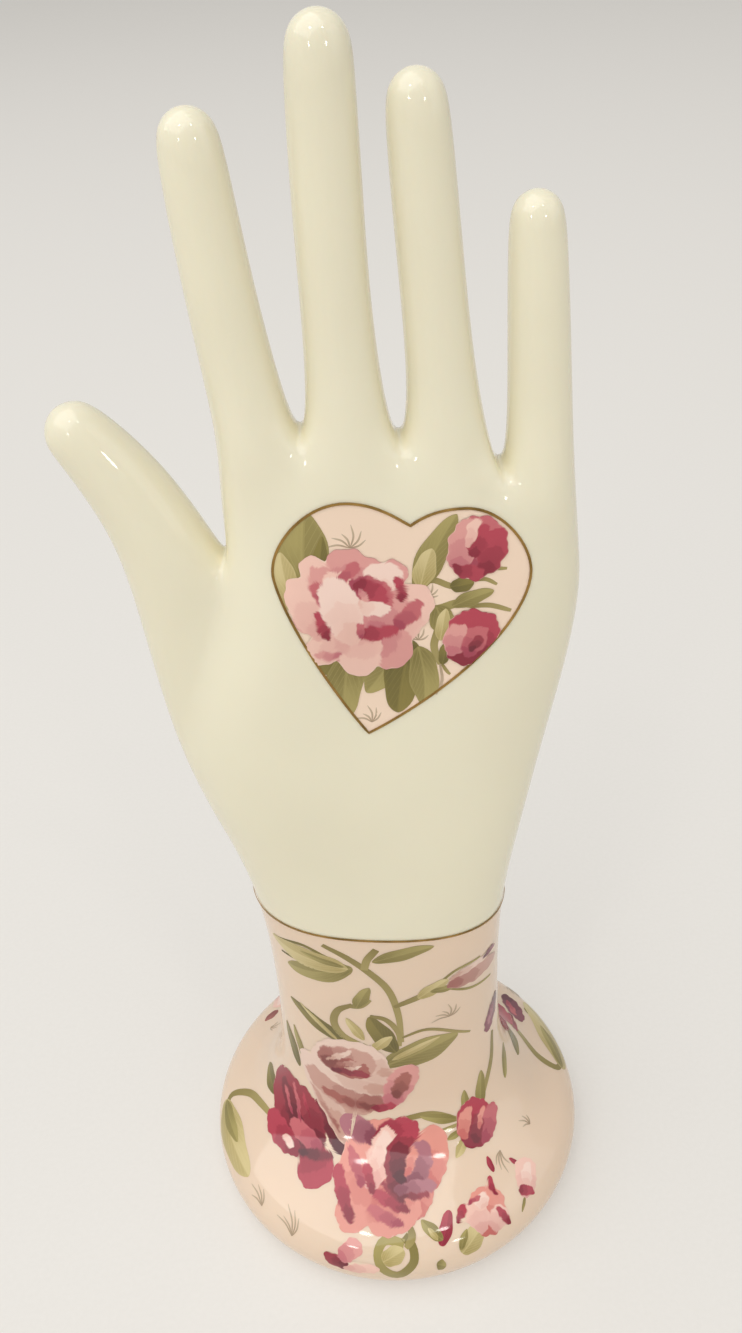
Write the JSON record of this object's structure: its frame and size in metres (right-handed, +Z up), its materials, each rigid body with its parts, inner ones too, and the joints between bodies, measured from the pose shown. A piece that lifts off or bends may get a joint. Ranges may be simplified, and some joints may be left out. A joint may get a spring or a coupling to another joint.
{
  "type": "hand jewelry stand",
  "caption": "Porcelain hand standing upright on a round foot, with open fingers and thumb that hold rings, bracelets and necklaces",
  "frame": {"origin": "middle of the part's box on the surface it stands on; the foot's own axis is about 2.3 mm towards +X", "axes": "+Z up along the wrist and fingers, palm faces -Y, thumb points to -X"},
  "size_m": [0.089, 0.0844, 0.2362],
  "materials": {
    "glazed_porcelain": "clear gloss glaze on ivory porcelain, with printed rose sprays and thin gilt lines"
  },
  "bodies": {
    "root": {"porcelain_hand": "glazed_porcelain"}
  },
  "joints": []
}
